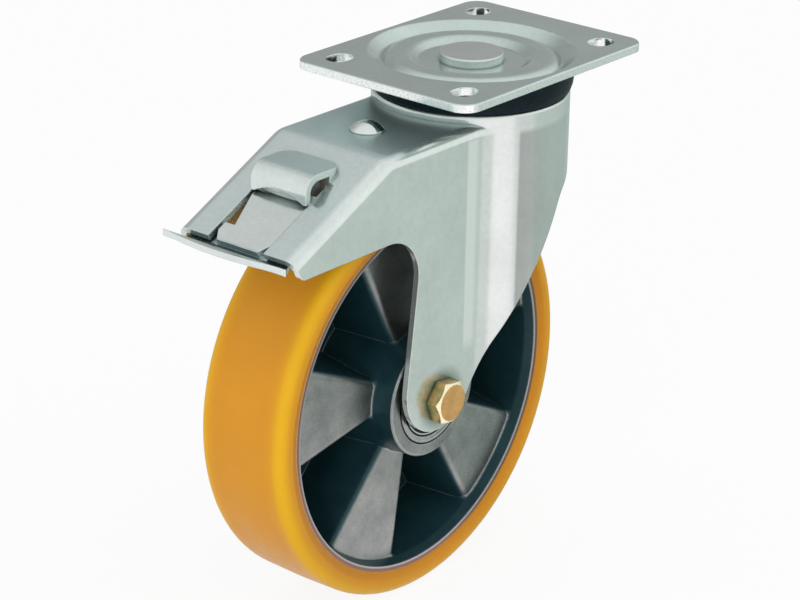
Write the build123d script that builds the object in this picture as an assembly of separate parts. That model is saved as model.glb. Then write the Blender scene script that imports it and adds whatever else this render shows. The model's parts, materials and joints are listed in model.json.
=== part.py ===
"""Swivel castor with a total brake, modelled piece by piece.

Millimetres, +Z up. The origin is the centre of the mounting plate's top face,
on the swivel axis. +X is the direction of travel, so the wheel trails towards
-X, and the axle runs along Y. The brake pedal is released.
"""
import math
import os

from build123d import *

# ---------------------------------------------------------------- wheel
wheel_radius = 100.0
wheel_width = 50.0
wheel_trail = 59.5            # axle behind the swivel axis
tread_drop = 47.0             # top of the tread below the plate's top face
tread_thickness = 12.5
tread_shoulder = 5.5
tread_crown = 0.6
tread_side_inset = 0.6
rim_side_inset = 1.5          # rim face inside the tread's side
rim_lip = 2.4                 # width of the rim's bare edge
rim_draft = 2.0
hub_radius = 29.4
hub_draft = 3.0               # degrees
hub_length = 59.0
pad_face_half = 18.0          # web pads lie this far from the mid-plane
web_thickness = 5.0
spoke_count = 5
pad_angle = 34.0              # width of a pad at its face, degrees
pocket_draft = 9.0            # degrees
pocket_corner = 1.5
pad_edge_radius = 4.0
pad_foot_radius = 1.2         # between pad face and the walls beside it
pad_bearing = -43.5           # direction of the first near-side pad, degrees

# ---------------------------------------------------------------- bearings
bearing_outer_radius = 23.5
bearing_bore_radius = 10.0
bearing_width = 14.0
bearing_ring_wall = 2.3
bearing_inner_wall = 3.8
bearing_shield = 0.8
bearing_shield_inset = 0.3
bearing_balls = 8
bearing_ball_radius = 3.9
bearing_ball_play = 0.1

# ---------------------------------------------------------------- axle
axle_radius = 6.0
axle_hole_play = 0.1
hex_across_flats = 19.0
bolt_head_height = 7.0
bolt_head_face = 8.7           # radius of the head's chamfered face
bolt_head_turn = -8.0          # degrees
nut_height = 10.0
washer_radius = 12.0
washer_thickness = 2.5
bolt_end = 3.0                # bolt beyond the nut
side_spacer_radius = 16.0

# ---------------------------------------------------------------- plate
plate_length = 134.8
plate_width = 103.0
plate_thickness = 3.9
plate_corner = 9.0
bolt_spacing_x = 102.0
bolt_spacing_y = 73.4
bolt_slot_width = 11.0
bolt_slot_length = 14.0
dish_radius = 48.5
dish_floor_radius = 43.2
dish_depth = 4.7
raceway_radius = 34.0
raceway_half_width = 7.6
raceway_crest = 1.7           # crest of the pressed raceway below the face
sheet_bend = 1.4
crest_bend = 6.0

# ---------------------------------------------------------------- head
upper_ball_radius = 6.0
upper_balls = 16
lower_ball_radius = 4.0
lower_balls = 18
lower_raceway_radius = 24.0
ball_play = 0.3
head_top = 17.0               # fork head's rim below the plate's face
head_race_rise = 0.4          # race disc above the head's rim
head_race_inset = 6.5         # race disc's flat ends this far inside the head's edge
race_groove = 1.0
head_hole_radius = 15.0
seal_radius = 48.1
seal_foot_radius = 46.7
seal_wall = 4.3
seal_gap = 0.6
kingpin_radius = 8.0
kingpin_head_radius = 15.1
kingpin_head_recess = 0.4
kingpin_head_edge = 0.6
sleeve_radius = 11.5
race_thickness = 4.2
race_radius = 31.0
lock_ring_thickness = 2.5
lock_ring_radius = 38.0
lock_notches = 24
lock_notch_width = 5.4
lock_notch_depth = 5.5
kingpin_nut_height = 9.0
kingpin_nut_flats = 24.0
kingpin_end = 1.5

# ---------------------------------------------------------------- fork
sheet = 3.0
head_radius = 46.5
head_edge_radius = 1.6
leg_face = 34.5               # outer face of each leg from the mid-plane
blend_radius = 25.0           # concave blend between head and leg
hood_top = 20.5
hood_bend_x = -98.0
hood_end_x = -160.5
hood_slope = 25.7             # degrees
hood_edge_radius = 6.0
hood_bend_radius = 14.0
hood_skirt = 59.8             # lower edge of the hood's sides
hood_corner = 3.5
arch_radius = 21.0
leg_end_radius = 23.2
leg_end_offset_x = -1.5       # centre of the leg's rounded end from the axle
leg_end_offset_z = 8.2
leg_root_x = -74.8            # front edge of the leg where it meets the arch
rear_knee_x = 13.0
rear_knee_z = -63.0
front_skirt = 44.0
rear_knee_radius = 16.0

# ---------------------------------------------------------------- pedal and brake
curl_radius = 8.0             # outside of the curled strap
curl_x = -125.3               # pivot of the pedal
curl_rise = 1.6               # pivot above the hood's slope
strap_half_width = 16.2
strap_root_x = -109.0
strap_root_corner = 7.0
strap_tip_drop = 4.6          # straight wall of the strap below the curl
strap_tip_arch = 3.8
slit_end_x = -117.6
pedal_sheet = 2.8
pedal_recess = 1.0            # tongue below the hood's surface
knuckle_play = 0.3
knuckle_half_width = 13.0
tongue_half_width = 15.2
tongue_waist = 9.6
lip_half_width = 36.0
lip_reach = 13.3              # furthest point of the lip beyond the hood's end
lip_sweep = 5.8               # middle of the lip's outer edge beyond its tips
lip_rise = 1.4                # lip's outer edge above the hood's end edge
lip_tuck = 13.0               # lip's sheet under the hood's end
rib_inner = 8.6
rib_thickness = 2.2
rib_depth = 9.0
cam_radius = 4.0
cam_drop = 13.6
cam_lead = 3.0
pedal_travel = 14.0           # degrees
brake_travel = 4.5            # degrees
leaf_sheet = 2.5
leaf_half_width = 13.0
leaf_gap = 1.2                # leaf below the hood
rivet_x = -74.2
rivet_head_radius = 7.9
rivet_head_height = 4.4
rivet_head_edge = 0.7
rivet_shank_radius = 4.0
shoe_half_width = 18.0
shoe_clearance = 4.4
shoe_thickness = 4.0
shoe_front_x = -95.5
shoe_rear_x = -113.5
leaf_bend_x = -98.0           # where the rear arm turns towards the cam
leaf_bend_z = -45.0
cam_gap = 0.5
leaf_hole_play = 0.9
leaf_rock_gap = 1.2           # rivet foot below the leaf
tooth_gap = 0.7               # tooth below the lock ring at rest
tooth_height = 2.7

# ---------------------------------------------------------------- derived places
axle_drop = wheel_radius + tread_drop
axle_x = -wheel_trail
axle_z = -axle_drop
rim_radius = wheel_radius - tread_thickness
rim_half = wheel_width / 2 - rim_side_inset
head_race_radius = head_radius - head_race_inset
leg_inner = leg_face - sheet
slope = math.radians(hood_slope)
hood_end_z = -hood_top - (hood_bend_x - hood_end_x) * math.tan(slope)
plate_underside = -plate_thickness
dish_floor = -dish_depth
curl_z = -hood_top - (hood_bend_x - curl_x) * math.tan(slope) + curl_rise


def slope_z(x):
    """Height of the hood's sloping outer face at x."""
    return -hood_top - (hood_bend_x - x) * math.tan(slope)


def turned(points, angle=360.0):
    """Solid of revolution about Z from (radius, height) points."""
    face = make_face(Polyline(*[(r, 0, z) for r, z in points], close=True))
    return revolve(face, Axis.Z, angle)


def across(sketch, half_width):
    """Extrude an X-Z outline symmetrically along Y."""
    return extrude(Plane.XZ * sketch, amount=half_width, both=True)


def outline(*points):
    """Flat face through (x, y) points."""
    return make_face(Polyline(*points, close=True))


def hexagon(flats, height):
    """Hexagonal prism standing on z = 0."""
    return extrude(RegularPolygon(flats / 2, 6, major_radius=False), amount=height)


def ring(outer, inner, height):
    """Flat ring standing on z = 0."""
    return extrude(Circle(outer) - Circle(inner), amount=height)


def on_axle(shape, y):
    """Carry a shape built along +Z onto the axle, its base at y, pointing to +Y."""
    return Pos(axle_x, y, axle_z) * Rot(-90, 0, 0) * shape


def circle_of(shape, count, start=0.0):
    """Copies of a shape turned about Z."""
    return [Rot(0, 0, start + 360.0 * i / count) * shape for i in range(count)]


# ---------------------------------------------------------------- swivel head
def dish_points():
    """Top line of the pressed plate, (radius, height), from the centre hole outwards."""
    inner = raceway_radius - raceway_half_width
    outer = raceway_radius + raceway_half_width
    return [
        (kingpin_radius + axle_hole_play, dish_floor),
        (inner - 1.4, dish_floor),
        (inner + 3.2, -raceway_crest),
        (outer - 3.2, -raceway_crest),
        (outer + 0.2, dish_floor),
        (dish_floor_radius, dish_floor),
        (dish_radius, 0.0),
    ]


def top_plate():
    """Mounting plate with the pressed dish and raceway."""
    blank = RectangleRounded(plate_length, plate_width, plate_corner)
    slots = Sketch() + [
        Pos(sx * bolt_spacing_x / 2, sy * bolt_spacing_y / 2)
        * SlotOverall(bolt_slot_length, bolt_slot_width)
        for sx in (-1, 1)
        for sy in (-1, 1)
    ]
    edge = dish_radius + 1.0
    flange = extrude(blank - slots - Circle(edge), amount=-plate_thickness)
    top = dish_points() + [(edge + 0.5, 0.0)]
    face = outline(*top, *[(r, z - plate_thickness) for r, z in reversed(top)])
    crest = face.vertices().filter_by(
        lambda v: abs(v.X - raceway_radius) < raceway_half_width - 2
    )
    face = fillet(crest, crest_bend)
    bends = face.vertices().filter_by(
        lambda v: kingpin_radius + 2 < v.X < edge
        and abs(v.X - raceway_radius) > raceway_half_width - 1
    )
    face = fillet(bends, sheet_bend)
    dish = revolve(Plane.XZ * face, Axis.Z)
    plate = flange + dish
    rim = plate.edges().filter_by(
        lambda e: abs(e.center().Z) < 0.01 and (abs(e.center().X) > 60 or abs(e.center().Y) > 45)
    )
    outer = rim.filter_by(lambda e: not (abs(abs(e.center().X) - bolt_spacing_x / 2) < 8
                                         and abs(abs(e.center().Y) - bolt_spacing_y / 2) < 7))
    return chamfer(outer, 0.4)


upper_ball_z = -raceway_crest - plate_thickness - upper_ball_radius - 0.05
head_race_top = -head_top + head_race_rise
lower_ball_top = head_race_top - sheet + race_groove - ball_play
lower_ball_z = lower_ball_top - lower_ball_radius
lower_race_top = lower_ball_z - lower_ball_radius + race_groove
lower_race_bottom = lower_race_top - race_thickness
lock_ring_bottom = lower_race_bottom - lock_ring_thickness
kingpin_nut_bottom = lock_ring_bottom - kingpin_nut_height


def upper_ball_set():
    """Balls between the plate's raceway and the fork head."""
    ball = Pos(raceway_radius, 0, upper_ball_z) * Sphere(upper_ball_radius)
    return circle_of(ball, upper_balls)


def lower_ball_set():
    """Balls between the fork head and the lower race."""
    ball = Pos(lower_raceway_radius, 0, lower_ball_z) * Sphere(lower_ball_radius)
    return circle_of(ball, lower_balls)


def seal_ring():
    """Dust seal that closes the gap between plate and fork head."""
    bottom = -head_top + seal_gap
    inner = seal_radius - seal_wall
    points = [
        (inner, bottom + 1.5),
        (inner + 0.7, bottom),
        (seal_foot_radius - 0.6, bottom),
        (seal_foot_radius, bottom + 0.6),
        ((seal_foot_radius + seal_radius) / 2 + 0.2, bottom + 3.4),
        (seal_radius - 0.1, bottom + 6.6),
        (seal_radius, plate_underside - 2.4),
        (seal_radius - 0.6, plate_underside - 1.8),
        (inner, dish_floor - plate_thickness - 0.6),
    ]
    return turned(points)


def kingpin():
    """Central bolt: low round head in the dish and a long shank."""
    top = -kingpin_head_recess
    end = kingpin_nut_bottom - kingpin_end
    points = [
        (0, top),
        (kingpin_head_radius - kingpin_head_edge, top),
        (kingpin_head_radius - 0.3 * kingpin_head_edge, top - 0.3 * kingpin_head_edge),
        (kingpin_head_radius, top - kingpin_head_edge),
        (kingpin_head_radius, dish_floor),
        (kingpin_radius, dish_floor),
        (kingpin_radius, end + 1.0),
        (kingpin_radius - 1.0, end),
        (0, end),
    ]
    return turned(points)


def kingpin_sleeve():
    """Distance sleeve clamped between the plate and the lower race."""
    top = dish_floor - plate_thickness
    tube = ring(sleeve_radius, kingpin_radius + axle_hole_play, top - lower_race_top)
    return Pos(0, 0, lower_race_top) * tube


def lower_race():
    """Dished lower raceway of the swivel head."""
    bore = kingpin_radius + axle_hole_play
    body = Pos(0, 0, lower_race_bottom) * ring(race_radius, bore, race_thickness)
    groove = Pos(0, 0, lower_ball_z) * Torus(lower_raceway_radius, lower_ball_radius + 0.05)
    rim = body.edges().filter_by(GeomType.CIRCLE).filter_by(lambda e: e.radius > race_radius - 0.1)
    return chamfer(rim, 0.8) - groove


def lock_ring():
    """Notched ring that the swivel lock engages."""
    body = Pos(0, 0, lock_ring_bottom) * ring(
        lock_ring_radius, kingpin_radius + axle_hole_play, lock_ring_thickness
    )
    reach = lock_notch_depth + 2
    centre = lock_ring_radius - lock_notch_depth + reach / 2
    notch = Pos(centre, 0, lock_ring_bottom + lock_ring_thickness / 2) * Box(
        reach, lock_notch_width, 2 * lock_ring_thickness
    )
    return body - circle_of(notch, lock_notches)


def kingpin_nut():
    """Nut that clamps the head together."""
    nut = hexagon(kingpin_nut_flats, kingpin_nut_height) - Cylinder(
        kingpin_radius, 3 * kingpin_nut_height
    )
    return Pos(0, 0, kingpin_nut_bottom) * nut


# ---------------------------------------------------------------- fork
def fork_plan(inset):
    """Plan outline of the fork: round head and parallel sides, blended."""
    head = Circle(head_radius - inset)
    length = -hood_end_x + 10
    channel = Pos(-length / 2, 0) * Rectangle(length, 2 * (leg_face - inset))
    joined = head + channel
    corners = joined.vertices().filter_by(
        lambda v: abs(v.Y) > 1 and v.X > -head_radius and v.X < 0
    )
    return fillet(corners, blend_radius + inset)


def hood_profile(inset):
    """Side outline of everything below the hood's upper surface."""
    drop = inset
    bend = hood_bend_x + inset * math.tan(slope / 2)
    end_x = hood_end_x - 12
    end_z = slope_z(end_x) - inset / math.cos(slope)
    side = outline(
        (head_radius + 10, -hood_top - drop),
        (bend, -hood_top - drop),
        (end_x, end_z),
        (end_x, -axle_drop - 40),
        (head_radius + 10, -axle_drop - 40),
    )
    knee = side.vertices().filter_by(
        lambda v: abs(v.X - bend) < 0.1 and v.Y > -hood_top - drop - 1
    )
    return fillet(knee, hood_bend_radius - inset)


def hood_body(inset):
    """Block filled by the hood and legs, `inset` inside the outer face."""
    depth = axle_drop + 40
    block = extrude(fork_plan(inset), amount=-depth)
    block = block & across(hood_profile(inset), leg_face + 20)
    tops = block.faces().filter_by(lambda f: f.normal_at().Z > 0.5)
    edges = ShapeList()
    for face in tops:
        edges += face.edges().filter_by(lambda e: abs(e.center().Y) > leg_face - inset - 12
                                        and e.center().X < -20)
    return fillet(edges, hood_edge_radius - inset)


def head_body(inset, top):
    """Round head block."""
    height = axle_drop + 40
    block = Pos(0, 0, top - inset) * extrude(Circle(head_radius - inset), amount=-height)
    edge = block.edges().group_by(Axis.Z)[-1]
    return fillet(edge, head_edge_radius - inset * 0.3)


def fork_side():
    """Side outline that the pressed fork is trimmed to."""
    end_dx = math.sin(slope)
    end_dz = math.cos(slope)
    drop = (hood_end_z + hood_skirt) / end_dz
    corner_x = hood_end_x + drop * end_dx
    rise = 40.0
    hood = outline(
        (head_radius + 10, 10),
        (head_radius + 10, -front_skirt + 1.5),
        (rear_knee_x, rear_knee_z),
        (leg_root_x, -hood_skirt),
        (corner_x, -hood_skirt),
        (hood_end_x - rise * end_dx, hood_end_z + rise * end_dz),
        (hood_end_x - rise * end_dx, 10),
    )
    centre = Pos(axle_x + leg_end_offset_x, axle_z + leg_end_offset_z)
    end = centre * Circle(leg_end_radius)
    root = Line((leg_root_x, -hood_skirt), (rear_knee_x, rear_knee_z))
    leg = make_hull(end.edges() + [root])
    side = hood + leg
    arch = side.vertices().filter_by(
        lambda v: abs(v.X - leg_root_x) < 1 and abs(v.Y + hood_skirt) < 1
    )
    side = fillet(arch, arch_radius)
    knee = side.vertices().filter_by(
        lambda v: abs(v.X - rear_knee_x) < 1 and abs(v.Y - rear_knee_z) < 1
    )
    side = fillet(knee, rear_knee_radius)
    tip = side.vertices().filter_by(
        lambda v: abs(v.X - corner_x) < 1 and abs(v.Y + hood_skirt) < 1
    )
    return fillet(tip, hood_corner)


def head_race():
    """Pressed race disc of the fork head, grooved for both ball rows."""
    top = head_race_top
    edge = head_race_radius
    points = [
        (head_hole_radius, top),
        (edge, top),
        (edge + 2.6, -head_top),
        (edge + 4.0, -head_top),
        (edge + 4.0, -head_top - sheet),
        (edge + 1.6, -head_top - sheet),
        (edge - 1.0, top - sheet),
        (head_hole_radius, top - sheet),
    ]
    disc = turned(points)
    groove_z = upper_ball_z
    upper = Pos(0, 0, groove_z) * Torus(raceway_radius, upper_ball_radius + ball_play)
    lower = Pos(0, 0, lower_ball_z) * Torus(lower_raceway_radius, lower_ball_radius + ball_play)
    return disc - upper - lower


def strap_plan(inset):
    """Plan outline of the raised strap, rounded at its root."""
    front = curl_x - curl_radius - 2
    side = strap_half_width - inset
    plan = outline(
        (front, side),
        (strap_root_x - inset, side),
        (strap_root_x - inset, -side),
        (front, -side),
    )
    root = plan.vertices().filter_by(lambda v: v.X > front + 1)
    return fillet(root, strap_root_corner - inset)


def strap_side(inset):
    """Side outline filled by the strap: flat top, quarter curl, straight wall."""
    radius = curl_radius - inset
    wall = curl_x - radius
    low = curl_z - strap_tip_drop
    return make_face([
        Line((strap_root_x + 5, curl_z + radius), (curl_x, curl_z + radius)),
        ThreePointArc(
            (curl_x, curl_z + radius),
            (curl_x - radius * math.sqrt(0.5), curl_z + radius * math.sqrt(0.5)),
            (wall, curl_z),
        ),
        Line((wall, curl_z), (wall, low - inset)),
        Line((wall, low - inset), (strap_root_x + 5, low - inset)),
        Line((strap_root_x + 5, low - inset), (strap_root_x + 5, curl_z + radius)),
    ])


def curled_strap():
    """Strap pressed up out of the hood and curled down over the pedal's knuckle."""
    tall = 60.0
    outer = extrude(Pos(0, 0, -tall) * strap_plan(0), amount=tall)
    outer = outer & across(strap_side(0), strap_half_width + 1)
    inner = extrude(Pos(0, 0, -tall) * strap_plan(sheet), amount=tall)
    inner = inner + Pos(slit_end_x - 20, 0, -tall / 2) * Box(40, 2 * strap_half_width + 2, tall)
    inner = inner & across(strap_side(sheet), strap_half_width + 2)
    under = across(outline(
        (strap_root_x + 10, slope_z(strap_root_x + 10) - sheet / math.cos(slope)),
        (slit_end_x, slope_z(slit_end_x) - sheet / math.cos(slope)),
        (slit_end_x, -tall),
        (strap_root_x + 10, -tall),
    ), strap_half_width + 2)
    arch_half = strap_half_width - 2.0
    arch_radius_y = (arch_half ** 2 + strap_tip_arch ** 2) / (2 * strap_tip_arch)
    arch_z = curl_z - strap_tip_drop + strap_tip_arch - arch_radius_y
    tip_arch = Pos(curl_x - curl_radius, 0, arch_z) * Rot(0, 90, 0) * Cylinder(
        arch_radius_y, 3 * sheet
    )
    return outer - inner - under - tip_arch


def hood_window():
    """Space cut through the hood's slope for strap and tongue."""
    end_x = hood_end_x - 8
    slot = across(outline(
        (slit_end_x, slope_z(slit_end_x) + 2),
        (end_x, slope_z(end_x) + 2),
        (end_x, slope_z(end_x) - 8),
        (slit_end_x, slope_z(slit_end_x) - 8),
    ), strap_half_width)
    dome = extrude(Pos(0, 0, -60) * strap_plan(sheet), amount=60)
    dome = dome & across(strap_side(sheet), strap_half_width + 2)
    return slot + dome


def fork():
    """Pressed fork: head, hood, two legs and the curled strap in one sheet."""
    outer = hood_body(0) + head_body(0, -head_top)
    inner = hood_body(sheet) + head_body(sheet, -head_top)
    shell = outer - inner
    shell = shell & across(fork_side(), head_radius + 5)
    opening = Pos(0, 0, -head_top) * Cylinder(head_race_radius + 3.0, 4 * sheet)
    shell = shell - opening + head_race()
    shell = shell - hood_window() + curled_strap()
    axle_hole = on_axle(Cylinder(axle_radius + axle_hole_play, 4 * leg_face), 0)
    rivet_hole = Pos(rivet_x, 0, -hood_top) * Cylinder(rivet_shank_radius, 4 * sheet)
    return shell - axle_hole - rivet_hole


def hood_rivet():
    """Domed rivet through hood and brake leaf."""
    height = rivet_head_height - rivet_head_edge
    dome_radius = (rivet_head_radius ** 2 + height ** 2) / (2 * height)
    dome = Pos(0, 0, height - dome_radius) * Sphere(dome_radius)
    head = dome & Pos(0, 0, dome_radius) * Box(
        2 * dome_radius, 2 * dome_radius, 2 * dome_radius
    )
    base = Pos(0, 0, rivet_head_edge / 2) * Cylinder(rivet_head_radius, rivet_head_edge)
    head = Pos(0, 0, rivet_head_edge) * head + base
    closing_top = -(sheet + leaf_gap + leaf_sheet + leaf_rock_gap)
    shank = Pos(0, 0, closing_top / 2) * Cylinder(rivet_shank_radius, -closing_top)
    foot = Pos(0, 0, closing_top - 1.1) * Cylinder(rivet_shank_radius + 3.0, 2.2)
    return Pos(rivet_x, 0, -hood_top) * (head + shank + foot)


# ---------------------------------------------------------------- axle
def axle_bolt():
    """Hexagon bolt that carries the wheel."""
    head = hexagon(hex_across_flats, bolt_head_height)
    trim = Pos(0, 0, bolt_head_height / 2) * Cone(
        bolt_head_face + bolt_head_height * math.sqrt(3), bolt_head_face, bolt_head_height
    )
    head = head & trim
    length = leg_face * 2 + washer_thickness + nut_height + bolt_end
    shank = Pos(0, 0, -length / 2) * Cylinder(axle_radius, length)
    tip = shank.edges().group_by(Axis.Z)[0]
    shank = chamfer(tip, 1.0)
    return Pos(axle_x, -leg_face, axle_z) * Rot(90, 0, 0) * Rot(0, 0, bolt_head_turn) * (head + shank)


def axle_washer():
    """Washer under the nut."""
    return on_axle(ring(washer_radius, axle_radius + axle_hole_play, washer_thickness), leg_face)


def axle_nut():
    """Lock nut with a collar."""
    body = hexagon(hex_across_flats, nut_height * 0.72)
    collar = Pos(0, 0, nut_height * 0.72) * Circle(hex_across_flats / 2 - 0.8)
    body = body + extrude(collar, amount=nut_height * 0.28)
    body = body - Cylinder(axle_radius, 4 * nut_height)
    return on_axle(Rot(0, 0, 20) * body, leg_face + washer_thickness)


def axle_tube():
    """Distance tube between the legs, on which both bearings sit."""
    return on_axle(
        ring(bearing_bore_radius, axle_radius + axle_hole_play, 2 * leg_inner), -leg_inner
    )


def side_spacer(side):
    """Flanged spacer between a bearing and its leg."""
    gap = leg_inner - hub_length / 2
    shape = ring(side_spacer_radius - 0.6, bearing_bore_radius, gap)
    y = leg_inner - gap if side > 0 else -leg_inner
    return on_axle(shape, y)


# ---------------------------------------------------------------- bearings
bearing_face = hub_length / 2
bearing_back = bearing_face - bearing_width
ball_circle = (bearing_outer_radius - bearing_ring_wall
               + bearing_bore_radius + bearing_inner_wall) / 2
ball_line = bearing_face - bearing_width / 2


def bearing_groove(side):
    """Ball groove, as a torus round the axle."""
    groove = Torus(ball_circle, bearing_ball_radius + bearing_ball_play)
    return on_axle(groove, side * ball_line)


def bearing_outer(side):
    """Outer ring of a wheel bearing."""
    start = bearing_back if side > 0 else -bearing_face
    shape = ring(bearing_outer_radius, bearing_outer_radius - bearing_ring_wall, bearing_width)
    return on_axle(shape, start) - bearing_groove(side)


def bearing_inner(side):
    """Inner ring of a wheel bearing."""
    start = bearing_back if side > 0 else -bearing_face
    shape = ring(bearing_bore_radius + bearing_inner_wall, bearing_bore_radius, bearing_width)
    return on_axle(shape, start) - bearing_groove(side)


def bearing_ball_row(side):
    """Balls of one wheel bearing."""
    ball = Pos(ball_circle, 0, 0) * Sphere(bearing_ball_radius)
    row = [on_axle(b, side * ball_line) for b in circle_of(ball, bearing_balls)]
    return row


def bearing_cover(side):
    """Outer shield of a wheel bearing, fixed in the outer ring."""
    inner = bearing_bore_radius + bearing_inner_wall + 0.3
    shape = ring(bearing_outer_radius - bearing_ring_wall, inner, bearing_shield)
    near = bearing_face - bearing_shield_inset - bearing_shield
    start = near if side > 0 else -near - bearing_shield
    return on_axle(shape, start)


# ---------------------------------------------------------------- wheel
def tread():
    """Polyurethane tread with rounded shoulders and a slight crown."""
    half = wheel_width / 2
    edge = wheel_radius - tread_crown
    section = outline(
        (rim_radius, -rim_half),
        (rim_radius + 1.0, -rim_half),
        (rim_radius + 4.0, -half),
        (edge, -half),
        (wheel_radius, 0),
        (edge, half),
        (rim_radius + 4.0, half),
        (rim_radius + 1.0, rim_half),
        (rim_radius, rim_half),
    )
    shoulders = section.vertices().filter_by(lambda v: abs(v.X - edge) < 0.01)
    section = fillet(shoulders, tread_shoulder)
    crown = section.vertices().filter_by(lambda v: abs(v.X - wheel_radius) < 0.01)
    section = fillet(crown, wheel_radius)
    return on_axle(revolve(Plane.XZ * section, Axis.Z), 0)


def pocket_sketch(radius_in, radius_out, half_angle):
    """Wedge-shaped pocket mouth with rounded corners, about the wheel's centre."""
    a = math.radians(half_angle)
    c = math.cos(a)
    s = math.sin(a)
    lines = [
        Line((radius_in * c, -radius_in * s), (radius_out * c, -radius_out * s)),
        ThreePointArc((radius_out * c, -radius_out * s), (radius_out, 0),
                      (radius_out * c, radius_out * s)),
        Line((radius_out * c, radius_out * s), (radius_in * c, radius_in * s)),
        ThreePointArc((radius_in * c, radius_in * s), (radius_in, 0),
                      (radius_in * c, -radius_in * s)),
    ]
    face = make_face(lines)
    return fillet(face.vertices(), pocket_corner)


def wheel_rim():
    """Cast rim with hub, and a web whose pads alternate between the two sides."""
    bore = bearing_outer_radius
    half_hub = hub_length / 2
    lip = rim_radius - rim_lip
    rim_lean = rim_draft / (rim_half - pad_face_half)
    hub_lean = math.tan(math.radians(hub_draft))
    hub_foot = hub_radius + (half_hub - 0.8 - pad_face_half) * hub_lean
    section = outline(
        (bore - 2.0, -half_hub),
        (hub_radius - 0.8, -half_hub),
        (hub_radius, -half_hub + 0.8),
        (hub_foot, -pad_face_half),
        (lip - rim_draft, -pad_face_half),
        (lip, -rim_half),
        (rim_radius, -rim_half),
        (rim_radius, rim_half),
        (lip, rim_half),
        (lip - rim_draft, pad_face_half),
        (hub_foot, pad_face_half),
        (hub_radius, half_hub - 0.8),
        (hub_radius - 0.8, half_hub),
        (bore - 2.0, half_hub),
    )
    feet = section.vertices().filter_by(lambda v: abs(abs(v.Y) - pad_face_half) < 0.01)
    body = revolve(Plane.XZ * fillet(feet, pad_foot_radius), Axis.Z)
    pitch = 360.0 / spoke_count
    mouth = (pitch - pad_angle) / 2
    start = 1.0
    inner = hub_foot - start * hub_lean + 0.02
    outer = lip - rim_draft + start * rim_lean - 0.1
    depth = 2 * pad_face_half - web_thickness + start
    pocket = extrude(pocket_sketch(inner, outer, mouth), amount=depth, taper=pocket_draft)
    far_side = Pos(0, 0, -pad_face_half - start) * pocket
    near_side = Pos(0, 0, pad_face_half + start) * Rot(180, 0, 0) * pocket
    body = body - circle_of(far_side, spoke_count, pad_bearing)
    body = body - circle_of(near_side, spoke_count, pad_bearing + pitch / 2)
    sides = body.edges().filter_by(GeomType.LINE).filter_by(
        lambda e: abs(abs(e.center().Z) - pad_face_half) < 0.02
        and e.length > (outer - inner) / 2
    )
    pad_depth = rim_half - pad_face_half
    body = fillet(sides, min(pad_edge_radius, pad_depth))
    seat = Cylinder(bore, bearing_width)
    for side in (-1, 1):
        body = body - Pos(0, 0, side * (half_hub - bearing_width / 2)) * seat
    return Pos(axle_x, 0, axle_z) * Rot(90, 0, 0) * body


# ---------------------------------------------------------------- pedal
knuckle_radius = curl_radius - sheet - knuckle_play


def rib_outline():
    """Side outline of the ribs under the pedal."""
    end_x = hood_end_x + 2
    low_x = end_x + 6
    return outline(
        (curl_x, tongue_low(curl_x) + 0.5),
        (end_x, tongue_low(end_x) + 0.5),
        (end_x, tongue_low(end_x) - pedal_sheet - 2.0),
        (low_x, tongue_low(low_x) - rib_depth),
        (curl_x - 10, tongue_low(curl_x - 10) - rib_depth),
        (curl_x + cam_lead - 2, curl_z - cam_drop),
    )


def tongue_low(x):
    """Height of the tongue's underside at x."""
    return slope_z(x) - (pedal_recess + pedal_sheet) / math.cos(slope)


def lip_section():
    """Side section of the foot plate: along the tongue, then turned up and out."""
    start_x = hood_end_x + lip_tuck
    leave_x = hood_end_x + 1.6
    outer_x = hood_end_x - lip_reach
    outer_z = hood_end_z + lip_rise
    down = Vector(-math.cos(slope), -math.sin(slope), 0)
    top = Spline(
        [
            (leave_x, tongue_low(leave_x)),
            (hood_end_x - 4.2, hood_end_z - 1.9),
            (hood_end_x - 8.6, hood_end_z + 0.6),
            (outer_x, outer_z),
        ],
        tangents=[(down.X, down.Y), (-1.0, 0.12)],
    )
    plate_line = Polyline((start_x, tongue_low(start_x)), (leave_x, tongue_low(leave_x)))
    middle = Wire([*plate_line.edges(), *top.edges()])
    face = trace(Wire(middle), 2 * pedal_sheet)
    cut = make_face([
        *plate_line.edges(),
        *top.edges(),
        Line((outer_x, outer_z), (outer_x - 10, outer_z)),
        Line((outer_x - 10, outer_z), (outer_x - 10, outer_z + 40)),
        Line((outer_x - 10, outer_z + 40), (start_x + 10, outer_z + 40)),
        Line((start_x + 10, outer_z + 40), (start_x + 10, tongue_low(start_x))),
        Line((start_x + 10, tongue_low(start_x)), (start_x, tongue_low(start_x))),
    ])
    return face - cut


def pedal_lip():
    """Curved foot plate, cut to a lens-shaped plan."""
    front_x = hood_end_x - lip_reach
    tip_x = front_x + lip_sweep
    inner_x = hood_end_x + lip_tuck
    step_y = lip_half_width - 6.5
    root_y = strap_half_width - 1.5
    plan = make_face([
        ThreePointArc((tip_x, lip_half_width), (front_x, 0), (tip_x, -lip_half_width)),
        Line((tip_x, -lip_half_width), (hood_end_x - 0.5, -step_y)),
        Line((hood_end_x - 0.5, -step_y), (hood_end_x + 5, -step_y + 2)),
        Line((hood_end_x + 5, -step_y + 2), (inner_x, -root_y)),
        Line((inner_x, -root_y), (inner_x, root_y)),
        Line((inner_x, root_y), (hood_end_x + 5, step_y - 2)),
        Line((hood_end_x + 5, step_y - 2), (hood_end_x - 0.5, step_y)),
        Line((hood_end_x - 0.5, step_y), (tip_x, lip_half_width)),
    ])
    column = Pos(0, 0, -axle_drop) * extrude(plan, amount=axle_drop)
    return across(lip_section(), lip_half_width + 5) & column


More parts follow.
